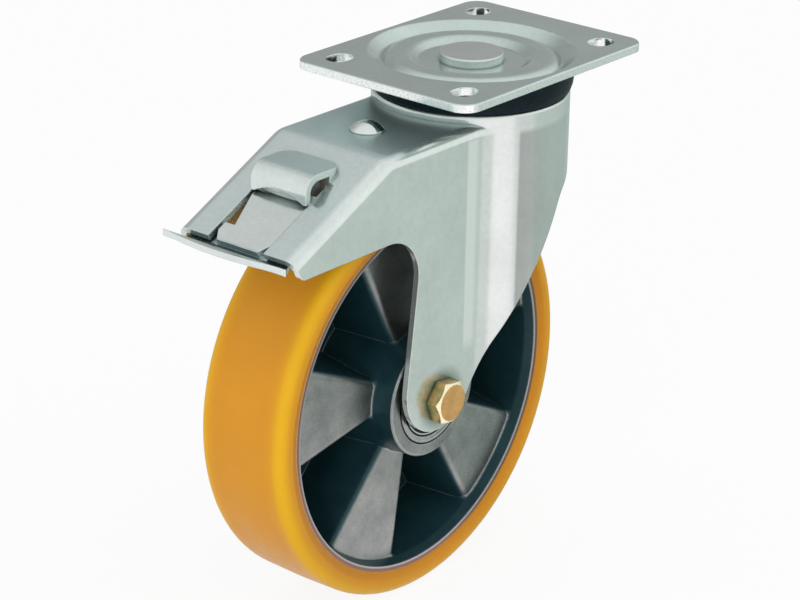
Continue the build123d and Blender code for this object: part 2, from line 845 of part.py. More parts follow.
def knuckle_side():
    """Side outline joining the rolled knuckle to the tongue."""
    front_x = curl_x - knuckle_radius + 0.1
    return outline(
        (front_x, curl_z),
        (front_x, slope_z(front_x) - pedal_recess / math.cos(slope) - 0.2),
        (front_x, tongue_low(front_x)),
        (curl_x, tongue_low(curl_x)),
        (curl_x, curl_z),
    )


def pedal_tongue():
    """Tongue of the pedal, waisted on both sides, lying in the hood's window."""
    start_x = curl_x
    end_x = hood_end_x + 0.6
    top = pedal_recess / math.cos(slope)
    lean = math.sin(slope)
    slab = across(outline(
        (start_x, slope_z(start_x) - top),
        (end_x, slope_z(end_x) - top),
        (end_x + pedal_sheet * lean, tongue_low(end_x + pedal_sheet * lean)),
        (start_x, tongue_low(start_x)),
    ), tongue_half_width)
    waist_x = hood_end_x + 10
    waist_start = curl_x - curl_radius - 0.5
    notch = outline(
        (waist_start, tongue_half_width),
        (waist_x, tongue_waist),
        (waist_x, tongue_half_width + 5),
        (waist_start, tongue_half_width + 5),
    )
    corner = outline(
        (hood_end_x + 5.5, tongue_half_width),
        (hood_end_x - 3, 9.0),
        (hood_end_x - 3, tongue_half_width + 5),
        (hood_end_x + 5.5, tongue_half_width + 5),
    )
    trims = Sketch() + [notch, corner, mirror(corner, Plane.XZ)]
    return slab - Pos(0, 0, -axle_drop) * extrude(trims, amount=axle_drop)


def pedal():
    """Brake pedal: rolled knuckle, tongue in the hood's window, ribs and lip."""
    knuckle = Pos(curl_x, 0, curl_z) * Rot(90, 0, 0) * Cylinder(
        knuckle_radius, 2 * knuckle_half_width
    )
    web = across(knuckle_side(), knuckle_half_width)
    centre = rib_inner + rib_thickness / 2
    rib = across(rib_outline(), rib_thickness / 2)
    lobe = Pos(curl_x + cam_lead, 0, curl_z - cam_drop) * Rot(90, 0, 0) * Cylinder(
        cam_radius, rib_thickness
    )
    neck = across(outline(
        (curl_x - 5, tongue_low(curl_x - 5) + 0.5),
        (curl_x + 3, tongue_low(curl_x + 3) + 0.5),
        (curl_x + cam_lead + 3.6, curl_z - cam_drop),
        (curl_x + cam_lead - 6, curl_z - cam_drop),
    ), rib_thickness / 2)
    ribs = [Pos(0, side * centre, 0) * (rib + lobe + neck) for side in (-1, 1)]
    return knuckle + web + pedal_tongue() + pedal_lip() + ribs


# ---------------------------------------------------------------- brake leaf
def leaf_path():
    """Middle line of the brake leaf, front tip first."""
    saddle = -hood_top - sheet - leaf_gap - leaf_sheet / 2
    tail_lean = math.radians(18.0)
    touch_x = curl_x + cam_lead + (cam_radius + cam_gap + leaf_sheet / 2) * math.cos(tail_lean)
    touch_z = curl_z - cam_drop - (cam_radius + cam_gap + leaf_sheet / 2) * math.sin(tail_lean)
    up = 4.0
    down = 7.0
    tail_top = (touch_x + up * math.sin(tail_lean), touch_z + up * math.cos(tail_lean))
    tail_low = (touch_x - down * math.sin(tail_lean), touch_z - down * math.cos(tail_lean))
    tip_z = lock_ring_bottom - tooth_gap - tooth_height - leaf_sheet / 2
    return FilletPolyline(
        (-33.0, tip_z),
        (-46.5, tip_z),
        (rivet_x + 9.5, saddle),
        (rivet_x - 9.5, saddle),
        (leaf_bend_x, leaf_bend_z),
        tail_low,
        tail_top,
        radius=(4.0, 4.0, 4.0, 6.0, 2.2),
    )


def brake_leaf():
    """Sprung leaf: swivel-lock tooth in front, saddle at the rivet, tail at the cam."""
    strip = across(trace(leaf_path(), leaf_sheet), leaf_half_width)
    front = Pos(-40, 0, 0) * Box(22, 60, 300) - Pos(-40, 0, 0) * Box(22, 18, 300)
    strip = strip - front
    tooth_x = -(lock_ring_radius - lock_notch_depth / 2)
    tooth_top = lock_ring_bottom - tooth_gap
    tooth = Pos(tooth_x, 0, tooth_top - tooth_height / 2 - 0.5) * Box(
        2.6, lock_notch_width - 2.0, tooth_height + 1.0
    )
    hole = Pos(rivet_x, 0, -hood_top) * Cylinder(rivet_shank_radius + leaf_hole_play, 40)
    return strip + tooth - hole


def brake_shoe():
    """Curved pad welded under the leaf, over the tread."""
    reach = wheel_radius + shoe_clearance
    hollow = Pos(axle_x, axle_z) * Circle(reach)
    block = outline(
        (shoe_front_x, leaf_bend_z + 2.0),
        (leaf_bend_x, leaf_bend_z),
        (shoe_rear_x, leaf_bend_z - 8.6),
        (shoe_rear_x, -axle_drop),
        (shoe_front_x, -axle_drop),
    )
    floor = Pos(axle_x, axle_z) * Circle(reach + shoe_thickness + 9)
    section = (block & floor) - hollow - trace(leaf_path(), leaf_sheet)
    return across(section, shoe_half_width)


# ---------------------------------------------------------------- output
os.makedirs("parts", exist_ok=True)

NODES = {
    "top_plate": top_plate(),
    "upper_balls": Compound(children=upper_ball_set()),
    "lower_balls": Compound(children=lower_ball_set()),
    "seal_ring": seal_ring(),
    "kingpin": kingpin(),
    "kingpin_sleeve": kingpin_sleeve(),
    "lower_race": lower_race(),
    "lock_ring": lock_ring(),
    "kingpin_nut": kingpin_nut(),
    "fork": fork(),
    "hood_rivet": hood_rivet(),
    "axle_bolt": axle_bolt(),
    "axle_washer": axle_washer(),
    "axle_nut": axle_nut(),
    "axle_tube": axle_tube(),
    "side_spacer_left": side_spacer(1),
    "side_spacer_right": side_spacer(-1),
    "bearing_outer_left": bearing_outer(1),
    "bearing_outer_right": bearing_outer(-1),
    "bearing_inner_left": bearing_inner(1),
    "bearing_inner_right": bearing_inner(-1),
    "bearing_balls_left": Compound(children=bearing_ball_row(1)),
    "bearing_balls_right": Compound(children=bearing_ball_row(-1)),
    "bearing_shield_left": bearing_cover(1),
    "bearing_shield_right": bearing_cover(-1),
    "wheel_rim": wheel_rim(),
    "tread": tread(),
    "pedal": pedal(),
    "brake_leaf": brake_leaf(),
    "brake_shoe": brake_shoe(),
}

for name, shape in NODES.items():
    export_step(shape, f"parts/{name}.step")
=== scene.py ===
"""Looks of the swivel castor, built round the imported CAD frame."""
import json
import math

import bmesh
import bpy
from mathutils import Matrix, Vector

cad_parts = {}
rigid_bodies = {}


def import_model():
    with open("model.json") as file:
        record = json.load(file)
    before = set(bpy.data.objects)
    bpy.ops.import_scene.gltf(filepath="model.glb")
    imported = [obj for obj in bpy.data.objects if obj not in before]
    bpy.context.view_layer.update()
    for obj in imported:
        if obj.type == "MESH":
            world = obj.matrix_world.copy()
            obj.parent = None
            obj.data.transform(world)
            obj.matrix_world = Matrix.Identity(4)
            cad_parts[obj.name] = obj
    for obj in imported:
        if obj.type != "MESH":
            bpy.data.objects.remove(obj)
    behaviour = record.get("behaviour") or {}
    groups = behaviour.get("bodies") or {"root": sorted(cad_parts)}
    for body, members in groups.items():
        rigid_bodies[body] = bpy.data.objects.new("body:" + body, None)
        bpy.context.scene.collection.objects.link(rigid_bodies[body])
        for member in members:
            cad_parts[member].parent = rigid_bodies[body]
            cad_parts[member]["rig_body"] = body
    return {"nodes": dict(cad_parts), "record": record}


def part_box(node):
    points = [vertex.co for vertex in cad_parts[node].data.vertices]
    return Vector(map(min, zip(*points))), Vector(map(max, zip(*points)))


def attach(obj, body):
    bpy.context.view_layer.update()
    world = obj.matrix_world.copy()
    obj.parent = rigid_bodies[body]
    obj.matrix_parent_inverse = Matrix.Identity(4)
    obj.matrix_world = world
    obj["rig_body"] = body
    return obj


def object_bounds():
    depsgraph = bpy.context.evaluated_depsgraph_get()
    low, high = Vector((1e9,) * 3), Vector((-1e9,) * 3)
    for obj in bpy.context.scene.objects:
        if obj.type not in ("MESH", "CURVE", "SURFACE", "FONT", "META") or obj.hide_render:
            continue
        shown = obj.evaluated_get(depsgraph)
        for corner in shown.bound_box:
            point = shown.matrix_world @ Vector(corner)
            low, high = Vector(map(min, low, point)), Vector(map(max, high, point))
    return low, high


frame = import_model()
CAD_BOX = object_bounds()
NODES = frame["nodes"]
SCENE = bpy.context.scene
MM = 0.001

# camera: angles in degrees, place in millimetres, focal length in pixels of the picture
CAMERA_AZIMUTH = -50.45
CAMERA_ELEVATION = 22.46
CAMERA_ROLL = 1.07
CAMERA_PLACE = (-966.67, -757.98, 381.48)
FOCAL_LENGTH = 2762.12
PICTURE_WIDTH = 800.0
SENSOR_WIDTH = 36.0

# places on the part that the looks follow, in metres
AXLE = (-0.0595, 0.0, -0.147)
HEAD_RADIUS = 0.0465          # round head of the fork
HOOD_UNDERSIDE = -0.0240      # below the hood's upper sheet
LEG_FACE = 0.0345             # outer face of each leg from the mid-plane
HIGHLIGHT_STRIPE = (-0.0452, -0.0434, -0.0395, -0.0350)    # x where the painted highlight stripe on each leg begins and ends
LEG_END = (-0.130, -0.121)    # height where the painted highlight stripe runs out on the leg
BOLT_SHADE_AND_SCUFF = (0.0095, 0.0180)     # ring round the axle bolt, by radius: painted shade in the colour, and a rougher scuffed seat
LIP_END = 0.1738              # furthest reach of the pedal's lip
LIP_SWEEP = 4.475             # the lip's outer edge bows by this times y squared
LIP_ROOT = (0.1585, 0.1605)   # where the lip leaves the hood's end
LIP_RIM = (0.0020, 0.0034)    # outer rim of the lip, kept out of the painted shade
RIM_LIP = (0.0848, 0.0851)    # bare edge of the cast rim, by radius
RIM_STAIN = (0.0855, 0.0861)  # bond line under the tread, by radius
TREAD_DEPTH = (0.0872, 0.0990)    # from the tread's root to its running face, by radius
SHOULDER = (0.004, 0.0240)    # from the tread's middle to its side
# colour of the painted highlight on rounded edges
EDGE_HIGHLIGHT = (0.90, 0.94, 0.93)


# ---------------------------------------------------------------- camera
def add_camera():
    """Camera at the viewing angle of the picture."""
    azimuth = math.radians(CAMERA_AZIMUTH)
    elevation = math.radians(CAMERA_ELEVATION)
    roll = math.radians(CAMERA_ROLL)
    back = Vector((
        math.sin(azimuth) * math.cos(elevation),
        -math.cos(azimuth) * math.cos(elevation),
        math.sin(elevation),
    ))
    side = (-back).cross(Vector((0, 0, 1))).normalized()
    up = side.cross(-back)
    right = math.cos(roll) * side + math.sin(roll) * up
    top = -math.sin(roll) * side + math.cos(roll) * up
    data = bpy.data.cameras.new("camera")
    data.sensor_width = SENSOR_WIDTH
    data.lens = FOCAL_LENGTH / PICTURE_WIDTH * SENSOR_WIDTH
    data.clip_start = 0.05
    data.clip_end = 60.0
    camera = bpy.data.objects.new("camera", data)
    SCENE.collection.objects.link(camera)
    turn = Matrix((right, top, back)).transposed().to_4x4()
    camera.matrix_world = Matrix.Translation(Vector(CAMERA_PLACE) * MM) @ turn
    SCENE.camera = camera


# ---------------------------------------------------------------- node helpers
class Tree:
    """Small helper round a node tree."""

    def __init__(self, tree):
        self.tree = tree

    def node(self, kind, **values):
        made = self.tree.nodes.new(kind)
        for key, value in values.items():
            setattr(made, key, value)
        return made

    def link(self, a, b):
        self.tree.links.new(a, b)

    def math(self, operation, *values):
        made = self.tree.nodes.new("ShaderNodeMath")
        made.operation = operation
        for slot, value in zip(made.inputs, values):
            if isinstance(value, (int, float)):
                slot.default_value = value
            else:
                self.link(value, slot)
        return made.outputs[0]

    def product(self, first, *others):
        for other in others:
            first = self.math("MULTIPLY", first, other)
        return first

    def inverse(self, value):
        return self.math("SUBTRACT", 1.0, value)

    def span(self, source, low, high):
        """0 below low, 1 above high, smooth between them."""
        made = self.tree.nodes.new("ShaderNodeMapRange")
        made.interpolation_type = "SMOOTHSTEP"
        made.inputs["From Min"].default_value = low
        made.inputs["From Max"].default_value = high
        self.link(source, made.inputs["Value"])
        return made.outputs[0]

    def ramp(self, source, *stops):
        """Colours at places from 0 to 1; a single number stands for a grey."""
        made = self.tree.nodes.new("ShaderNodeValToRGB")
        ramp = made.color_ramp
        while len(ramp.elements) < len(stops):
            ramp.elements.new(0.5)
        for element, (place, colour) in zip(ramp.elements, stops):
            element.position = place
            value = colour if isinstance(colour, (tuple, list)) else (colour,) * 3
            element.color = (*value, 1.0)
        self.link(source, made.inputs[0])
        return made.outputs[0]

    def blend(self, factor, a, b, kind="MIX"):
        """Colour a where factor is 0, colour b where it is 1."""
        made = self.tree.nodes.new("ShaderNodeMix")
        made.data_type = "RGBA"
        made.blend_type = kind
        for slot, value in ((0, factor), (6, a), (7, b)):
            if isinstance(value, (int, float)):
                made.inputs[slot].default_value = value
            elif isinstance(value, (tuple, list)):
                made.inputs[slot].default_value = (*value, 1.0)
            else:
                self.link(value, made.inputs[slot])
        return made.outputs[2]

    def tone(self, colour, by):
        """Colour darkened or tinted by another."""
        return self.blend(1.0, colour, by, "MULTIPLY")

    def split(self, vector):
        made = self.tree.nodes.new("ShaderNodeSeparateXYZ")
        self.link(vector, made.inputs[0])
        return made.outputs

    def coords(self, scale=(1, 1, 1)):
        """Place on the part at rest, in metres."""
        source = self.tree.nodes.new("ShaderNodeTexCoord")
        mapping = self.tree.nodes.new("ShaderNodeMapping")
        mapping.inputs["Scale"].default_value = scale
        self.link(source.outputs["Object"], mapping.inputs["Vector"])
        return mapping.outputs[0]

    def facing(self, axis):
        """How far the surface faces along an axis, 0 for X, 1 for Y and 2 for Z."""
        return self.split(self.tree.nodes.new("ShaderNodeTexCoord").outputs["Normal"])[axis]

    def noise(self, vector, scale, detail=4.0, rough=0.5):
        made = self.tree.nodes.new("ShaderNodeTexNoise")
        made.inputs["Scale"].default_value = scale
        made.inputs["Detail"].default_value = detail
        made.inputs["Roughness"].default_value = rough
        self.link(vector, made.inputs["Vector"])
        return made.outputs["Fac"]

    def bump(self, height, distance, strength=1.0, under=None):
        made = self.tree.nodes.new("ShaderNodeBump")
        made.inputs["Distance"].default_value = distance
        made.inputs["Strength"].default_value = strength
        self.link(height, made.inputs["Height"])
        if under is not None:
            self.link(under, made.inputs["Normal"])
        return made.outputs[0]

    def rounded(self, radius):
        """Normal with softened edges, and how near an edge the point is."""
        soft = self.tree.nodes.new("ShaderNodeBevel")
        soft.samples = 4
        soft.inputs["Radius"].default_value = radius
        flat = self.tree.nodes.new("ShaderNodeNewGeometry")
        dot = self.tree.nodes.new("ShaderNodeVectorMath")
        dot.operation = "DOT_PRODUCT"
        self.link(soft.outputs[0], dot.inputs[0])
        self.link(flat.outputs["Normal"], dot.inputs[1])
        away = self.math("SUBTRACT", 1.0, dot.outputs["Value"])
        return soft.outputs[0], self.span(away, 0.01, 0.16)

    def crease(self, reach, low, high):
        """0 deep in a corner or against another part, 1 in the open."""
        made = self.tree.nodes.new("ShaderNodeAmbientOcclusion")
        made.samples = 8
        made.inputs["Distance"].default_value = reach
        return self.span(made.outputs["AO"], low, high)

    def around(self, x, y, *stops):
        """Colours by direction about the upright axis, in degrees from +X."""
        turn = self.math("ARCTAN2", y, x)
        place = self.math("MULTIPLY_ADD", turn, 1 / math.tau, 0.5)
        return self.ramp(place, *(((angle + 180) / 360, colour) for angle, colour in stops))


def new_material(name):
    """An empty material with its tree and its main shader."""
    material = bpy.data.materials.new(name)
    material.use_nodes = True
    tree = Tree(material.node_tree)
    shader = material.node_tree.nodes["Principled BSDF"]
    return material, tree, shader


def tinted(colour, factor):
    """Colour made lighter or darker by a factor."""
    return tuple(min(1.0, c * factor) for c in colour)


# ---------------------------------------------------------------- materials
def wheel_radius_at(tree):
    """Distance of the shaded point from the axle, and its place along the axle."""
    x, y, z = tree.split(tree.coords())
    across = tree.math("SUBTRACT", x, AXLE[0])
    height = tree.math("SUBTRACT", z, AXLE[2])
    square = tree.math("MULTIPLY_ADD", across, across, tree.product(height, height))
    return tree.math("SQRT", square), y


def zinc(name, colour, rough, metal=1.0, matt=0.0, sheared=0.0, painted_light=None):
    """Bright zinc plating on pressed steel: clouds, crystal mottle, rolling lines, a painted
    highlight on rounded edges, painted shade in corners and creases.

    matt roughens the faces that lie flat on top, sheared whitens the cut edges of the sheet,
    and the last argument is a function that paints one piece's own light and shade into the colour
    and may add roughness.
    """
    material, tree, shader = new_material(name)
    clouds = tree.noise(tree.coords(), 32.0, 5.0, 0.6)
    mottle = tree.noise(tree.coords(), 420.0, 3.0, 0.65)
    lines = tree.noise(tree.coords(scale=(1, 1, 14)), 150.0, 3.0, 0.6)
    tint = tree.ramp(clouds, (0.30, tinted(colour, 0.95)), (0.70, tinted(colour, 1.05)))
    tint = tree.tone(tint, tree.ramp(mottle, (0.30, 0.94), (0.70, 1.0)))
    blur = 0.0
    # the piece's own painted light and shade, and extra roughness
    if painted_light:
        tint, blur = painted_light(tree, tint)
    soft, edge = tree.rounded(0.0006)
    if sheared:
        side = tree.math("ABSOLUTE", tree.facing(2))
        cut = tree.inverse(tree.span(side, 0.15, 0.6))
        chips = tree.noise(tree.coords(scale=(1, 1, 2.5)), 700.0, 3.0, 0.65)
        torn = tree.ramp(chips, (0.36, (0.66, 0.71, 0.70)), (0.50, (0.92, 0.95, 0.94)))
        tint = tree.blend(tree.product(cut, sheared), tint, torn)
    # painted highlight on the rounded edges
    tint = tree.blend(tree.product(edge, 0.5), tint, EDGE_HIGHLIGHT)
    # painted shade in corners and where other parts come close
    shade = tree.ramp(tree.crease(0.005, 0.20, 0.80), (0.0, (0.20, 0.26, 0.28)), (1.0, 1.0))
    tree.link(tree.tone(tint, shade), shader.inputs["Base Color"])
    mixed = tree.math("ADD", tree.product(mottle, 0.5), tree.product(lines, 0.5))
    upward = tree.span(tree.facing(2), 0.94, 0.99)
    gloss = tree.ramp(mixed, (0.3, rough * 0.85), (0.7, rough * 1.2))
    gloss = tree.math("ADD", tree.math("MULTIPLY_ADD", upward, matt, gloss), blur)
    tree.link(gloss, shader.inputs["Roughness"])
    shader.inputs["Metallic"].default_value = metal
    waves = tree.noise(tree.coords(), 70.0, 2.0, 0.5)
    height = tree.math("MULTIPLY_ADD", waves, 6.0, mixed)
    tree.link(tree.bump(height, 0.00002, 0.35, soft), shader.inputs["Normal"])
    return material


def fork_painted_light(tree, tint):
    """Painted light on the fork: painted shade on the head's side below the hood, a painted
    highlight stripe down each leg, bluish painted shade on the hood's top and slope, and a painted
    shade ring round the bolt seat, which is also made rougher.
    """
    x, y, z = tree.split(tree.coords())
    square = tree.math("MULTIPLY_ADD", x, x, tree.product(y, y))
    outside = tree.span(tree.math("SQRT", square), HEAD_RADIUS + 0.00005, HEAD_RADIUS + 0.00035)
    head = tree.inverse(outside)
    below = tree.inverse(tree.span(z, HOOD_UNDERSIDE - 0.0035, HOOD_UNDERSIDE))
    # painted shade on the round head below the hood, graded along x
    shade = tree.ramp(
        tree.math("MULTIPLY_ADD", x, 20.0, 0.5),
        (0.135, 1.0), (0.160, 0.62), (0.26, 0.64), (0.34, 0.74),
        (0.5, 0.80), (0.8, 0.86), (1.0, 1.0),
    )
    tint = tree.blend(tree.product(head, below), tint, tree.tone(tint, shade))
    # painted highlight: a pale stripe down the outer face of each leg
    begin, full, fade, end = HIGHLIGHT_STRIPE
    strip = tree.math("SUBTRACT", tree.span(x, begin, full), tree.span(x, fade, end))
    outer = tree.span(tree.math("ABSOLUTE", y), LEG_FACE - 0.0010, LEG_FACE - 0.0001)
    stripe_highlight = tree.product(strip, outer, below, tree.span(z, *LEG_END))
    tint = tree.blend(stripe_highlight, tint, (0.86, 0.89, 0.86))
    # painted shade, bluish, on faces that look up, and a lighter one on the sloping faces
    level = tree.span(tree.facing(2), 0.94, 0.99)
    tint = tree.blend(level, tint, tree.tone(tint, (0.84, 0.91, 0.93)))
    sloping = tree.span(tree.facing(2), 0.84, 0.89)
    tint = tree.blend(sloping, tint, tree.tone(tint, (0.89, 0.93, 0.95)))
    # painted shade in a ring round the axle bolt, which is also made rougher as a scuffed seat
    scuff_and_shade = tree.inverse(tree.span(wheel_radius_at(tree)[0], *BOLT_SHADE_AND_SCUFF))
    tint = tree.blend(scuff_and_shade, tint, tree.tone(tint, (0.40, 0.46, 0.41)))
    return tint, tree.product(scuff_and_shade, 0.16)


def pedal_painted_shade(tree, tint):
    """Painted shade on the pedal's lip where it runs under the hood's end, bluish and mottled,
    leaving its outer rim in plain plating; the shaded part is a little rougher too.
    """
    x, y, z = tree.split(tree.coords())
    blue = tree.noise(tree.coords(), 260.0, 4.0, 0.65)
    # painted shade, bluish teal, for the lip under the hood's end
    lip_shade = tree.ramp(blue, (0.35, (0.28, 0.39, 0.41)), (0.65, (0.48, 0.59, 0.60)))
    swept = tree.product(y, y, LIP_SWEEP)
    inward = tree.math("ADD", tree.math("SUBTRACT", x, swept), LIP_END)
    lip = tree.span(tree.product(x, -1.0), *LIP_ROOT)
    place = tree.product(tree.span(inward, *LIP_RIM), lip)
    return tree.blend(tree.product(place, 0.85), tint, lip_shade), tree.product(place, 0.1)


def rubber(name, colour, rough):
    """Black moulded seal."""
    material, tree, shader = new_material(name)
    grit = tree.noise(tree.coords(), 900.0, 4.0, 0.6)
    tree.link(
        tree.ramp(grit, (0.3, tinted(colour, 0.7)), (0.7, tinted(colour, 1.5))),
        shader.inputs["Base Color"],
    )
    shader.inputs["Roughness"].default_value = rough
    shader.inputs["Specular IOR Level"].default_value = 0.08
    tree.link(tree.bump(grit, 0.00004, 0.4), shader.inputs["Normal"])
    return material


def cast_rim(name):
    """Die-cast aluminium: satin faces across the wheel, painted shade on the walls and in the
    pockets, a painted highlight on the rounded edges.
    """
    material, tree, shader = new_material(name)
    radius, y = wheel_radius_at(tree)
    face = tree.span(tree.product(tree.facing(1), y), 0.0095, 0.0165)
    skin = tree.noise(tree.coords(), 1100.0, 4.0, 0.7)
    cloud = tree.noise(tree.coords(), 60.0, 4.0, 0.6)
    bright = tree.ramp(cloud, (0.32, (0.23, 0.26, 0.25)), (0.68, (0.37, 0.395, 0.38)))
    bright = tree.tone(bright, tree.ramp(skin, (0.35, 0.78), (0.65, 1.0)))
    # painted shade for the walls and pockets, which the face mask leaves out
    dark = tree.ramp(cloud, (0.32, (0.008, 0.036, 0.046)), (0.68, (0.016, 0.054, 0.062)))
    tint = tree.blend(face, dark, bright)
    tint = tree.blend(tree.span(radius, *RIM_LIP), tint, (0.38, 0.37, 0.36))
    tint = tree.blend(tree.span(radius, *RIM_STAIN), tint, (0.23, 0.135, 0.10))
    # painted highlight on the rounded edges, stronger on the faces
    soft, edge = tree.rounded(0.0008)
    edge = tree.product(edge, tree.math("MULTIPLY_ADD", face, 0.5, 0.2))
    tint = tree.blend(edge, tint, (0.72, 0.76, 0.74))
    tree.link(tint, shader.inputs["Base Color"])
    tree.link(tree.math("MULTIPLY_ADD", face, 0.55, 0.4), shader.inputs["Metallic"])
    tree.link(tree.ramp(skin, (0.3, 0.26), (0.7, 0.42)), shader.inputs["Roughness"])
    tree.link(tree.bump(skin, 0.00008, 0.45, soft), shader.inputs["Normal"])
    return material


def polyurethane(name):
    """Poured tread: orange in the middle, with painted light on the sides that runs from brown at
    the root to yellow at the shoulders.
    """
    material, tree, shader = new_material(name)
    radius, y = wheel_radius_at(tree)
    outward = tree.span(radius, *TREAD_DEPTH)
    shoulder = tree.math("POWER", tree.span(tree.math("ABSOLUTE", y), *SHOULDER), 2.0)
    # painted light: browner deep on the sides, yellow towards the shoulders
    tint = tree.ramp(
        tree.product(outward, shoulder),
        (0.0, (0.50, 0.200, 0.014)),
        (0.25, (0.55, 0.232, 0.014)),
        (0.7, (0.60, 0.292, 0.012)),
        (1.0, (0.66, 0.368, 0.012)),
    )
    middle = tree.product(outward, tree.inverse(shoulder))
    tint = tree.blend(middle, tint, (0.565, 0.245, 0.018))
    cloud = tree.noise(tree.coords(), 22.0, 4.0, 0.6)
    tint = tree.tone(tint, tree.ramp(cloud, (0.3, 0.93), (0.7, 1.0)))
    tree.link(tint, shader.inputs["Base Color"])
    shader.inputs["Subsurface Weight"].default_value = 0.2
    shader.inputs["Subsurface Radius"].default_value = (1.0, 0.55, 0.08)
    shader.inputs["Subsurface Scale"].default_value = 0.006
    shader.inputs["Specular IOR Level"].default_value = 0.1
    shader.inputs["Coat Weight"].default_value = 0.08
    shader.inputs["Coat Roughness"].default_value = 0.2
    fine = tree.noise(tree.coords(), 260.0, 3.0, 0.6)
    tree.link(tree.ramp(fine, (0.3, 0.30), (0.7, 0.42)), shader.inputs["Roughness"])
    turned = tree.noise(tree.coords(scale=(0, 1, 0)), 1600.0, 2.0, 0.5)
    height = tree.math("MULTIPLY_ADD", turned, 0.5, fine)
    tree.link(tree.bump(height, 0.00002, 0.3), shader.inputs["Normal"])
    return material


def yellow_zinc(name):
    """Yellow-passivated zinc: copper end faces, olive and gold flats, a painted highlight on
    chamfers and edges, painted shade in creases.
    """
    material, tree, shader = new_material(name)
    blush = tree.noise(tree.coords(), 150.0, 3.0, 0.55)
    flats = tree.ramp(
        blush,
        (0.36, (0.17, 0.20, 0.07)),
        (0.48, (0.40, 0.35, 0.13)),
        (0.58, (0.62, 0.42, 0.17)),
        (0.66, (0.70, 0.40, 0.18)),
    )
    ends = tree.ramp(blush, (0.35, (0.72, 0.40, 0.15)), (0.65, (0.86, 0.48, 0.18)))
    facing = tree.math("ABSOLUTE", tree.facing(1))
    # painted highlight on the chamfers
    tint = tree.blend(tree.span(facing, 0.30, 0.45), flats, (0.92, 0.84, 0.58))
    tint = tree.blend(tree.span(facing, 0.93, 0.99), tint, ends)
    specks = tree.noise(tree.coords(), 1100.0, 3.0, 0.6)
    tint = tree.tone(tint, tree.ramp(specks, (0.35, 0.92), (0.6, 1.0)))
    soft, edge = tree.rounded(0.0004)
    # painted highlight on the rounded edges
    tint = tree.blend(tree.product(edge, 0.6), tint, (0.95, 0.88, 0.62))
    # painted shade in creases and round the base
    shade = tree.ramp(tree.crease(0.002, 0.3, 0.9), (0.0, (0.10, 0.10, 0.08)), (1.0, 1.0))
    tree.link(tree.tone(tint, shade), shader.inputs["Base Color"])
    shader.inputs["Metallic"].default_value = 0.9
    tree.link(tree.ramp(specks, (0.3, 0.20), (0.7, 0.32)), shader.inputs["Roughness"])
    tree.link(tree.bump(specks, 0.00003, 0.2, soft), shader.inputs["Normal"])
    return material


def bearing_face(name):
    """Ground ring and shield of a ball bearing, with dark seams where they meet, a pale thin ring,
    and painted shade on the broad inner band beside the leg.
    """
    material, tree, shader = new_material(name)
    radius = wheel_radius_at(tree)[0]
    grain = tree.noise(tree.coords(), 500.0, 3.0, 0.6)
    tint = tree.ramp(grain, (0.3, (0.36, 0.39, 0.38)), (0.7, (0.46, 0.49, 0.48)))
    # rings by radius: two dark seams, a pale thin ring, and painted shade on the broad band next to
    # the leg
    for inner, outer, colour in (
        (0.0226, 0.0236, (0.006, 0.010, 0.012)),
        (0.0189, 0.0199, (0.006, 0.010, 0.012)),
        (0.0183, 0.0189, (0.60, 0.64, 0.63)),
        (0.0130, 0.0183, (0.010, 0.016, 0.019)),
    ):
        above = tree.span(radius, inner - 0.0001, inner + 0.0001)
        beyond = tree.span(radius, outer - 0.0001, outer + 0.0001)
        tint = tree.blend(tree.math("SUBTRACT", above, beyond), tint, colour)
    tree.link(tint, shader.inputs["Base Color"])
    shader.inputs["Metallic"].default_value = 0.9
    turned = tree.noise(tree.coords(scale=(1, 0.1, 1)), 1400.0, 2.0, 0.5)
    tree.link(tree.ramp(turned, (0.3, 0.22), (0.7, 0.34)), shader.inputs["Roughness"])
    tree.link(tree.bump(turned, 0.00001, 0.2), shader.inputs["Normal"])
    return material


MATERIALS = {
    "plate_zinc": zinc("plate_zinc", (0.585, 0.685, 0.655), 0.15, metal=0.96, sheared=0.85),
    "zinc": zinc("zinc", (0.68, 0.745, 0.715), 0.17, metal=0.82, matt=0.16, painted_light=fork_painted_light),
    "steel": zinc("steel", (0.52, 0.53, 0.54), 0.25),
    "gold_zinc": yellow_zinc("gold_zinc"),
    "seal_black": rubber("seal_black", (0.004, 0.010, 0.013), 0.42),
    "rim_dark": cast_rim("rim_dark"),
    "tread_orange": polyurethane("tread_orange"),
}
BEARING = bearing_face("bearing_face")
OWN_LOOKS = {
    "pedal": zinc("pedal_zinc", (0.72, 0.78, 0.76), 0.18, metal=0.92, painted_light=pedal_painted_shade),
    "kingpin": zinc("kingpin_zinc", (0.66, 0.71, 0.69), 0.15, metal=0.95),
    "hood_rivet": zinc("rivet_zinc", (0.76, 0.80, 0.79), 0.14),
    "bearing_outer_left": BEARING,
    "bearing_outer_right": BEARING,
    "bearing_shield_left": BEARING,
    "bearing_shield_right": BEARING,
}


def dress_cad():
    """Give every CAD node the material of its record slot, or a look of its own."""
    for part in frame["record"]["subparts"]:
        node = NODES[part["node"]]
        look = OWN_LOOKS.get(part["node"], MATERIALS[part["material_slot"]])
        node.data.materials.clear()
        node.data.materials.append(look)


# ---------------------------------------------------------------- small detail
def piece(name, mesh, slot, body):
    """A detail piece that wears a record material and rides on a body."""
    made = bpy.data.objects.new(name, mesh)
    SCENE.collection.objects.link(made)
    made.data.materials.append(MATERIALS[slot])
    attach(made, body)
    return made


def finished_mesh(name, shape):
    """Close a bmesh into a mesh with its faces turned outwards."""
    mesh = bpy.data.meshes.new(name)
    bmesh.ops.recalc_face_normals(shape, faces=shape.faces)
    shape.to_mesh(mesh)
    shape.free()
    return mesh


